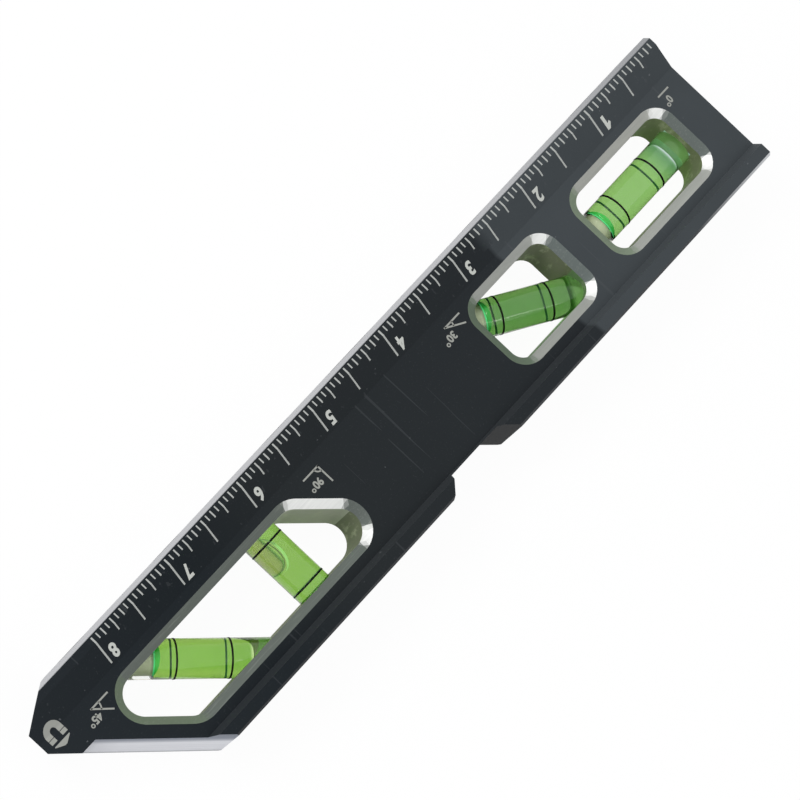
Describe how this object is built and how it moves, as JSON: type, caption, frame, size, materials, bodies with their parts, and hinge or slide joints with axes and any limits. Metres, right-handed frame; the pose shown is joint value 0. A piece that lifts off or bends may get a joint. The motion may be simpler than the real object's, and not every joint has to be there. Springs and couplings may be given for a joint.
{
  "type": "magnetic pocket level",
  "caption": "Machined aluminium pocket spirit level with a scale along one edge, vials in windows, a notch, a slanted tip and magnets in the base.",
  "frame": {"origin": "middle of the footprint at the back face, on which the level lies", "axes": "+X along the scale from the zero end to the tip, +Y from the magnetic base to the notched edge, +Z out of the printed front face"},
  "size_m": [0.2295, 0.0412, 0.021],
  "materials": {
    "black_anodised": "black anodised bar, bare metal on the base bevel, window chamfers and 45 degree face",
    "clear_tube": "clear moulded acrylic",
    "green_liquid": "lime green liquid",
    "clear_plug": "translucent plug",
    "ring_black": "black ring",
    "stop_black": "black bore stop",
    "magnet_nickel": "nickel plated disc magnet"
  },
  "bodies": {
    "root": {"frame": "black_anodised", "level_tube": "clear_tube", "level_liquid": "green_liquid", "level_plug": "clear_plug", "level_ring_1": "ring_black", "level_ring_2": "ring_black", "thirty_tube": "clear_tube", "thirty_liquid": "green_liquid", "thirty_plug": "clear_plug", "thirty_ring_1": "ring_black", "thirty_ring_2": "ring_black", "upright_tube": "clear_tube", "upright_liquid": "green_liquid", "upright_plug": "clear_plug", "upright_ring_1": "ring_black", "upright_ring_2": "ring_black", "slant_tube": "clear_tube", "slant_liquid": "green_liquid", "slant_plug": "clear_plug", "slant_ring_1": "ring_black", "slant_ring_2": "ring_black", "level_stop": "stop_black", "thirty_stop": "stop_black", "upright_stop": "stop_black", "slant_stop": "stop_black", "magnet_1": "magnet_nickel", "magnet_2": "magnet_nickel", "magnet_3": "magnet_nickel", "magnet_4": "magnet_nickel", "magnet_5": "magnet_nickel"}
  },
  "joints": []
}
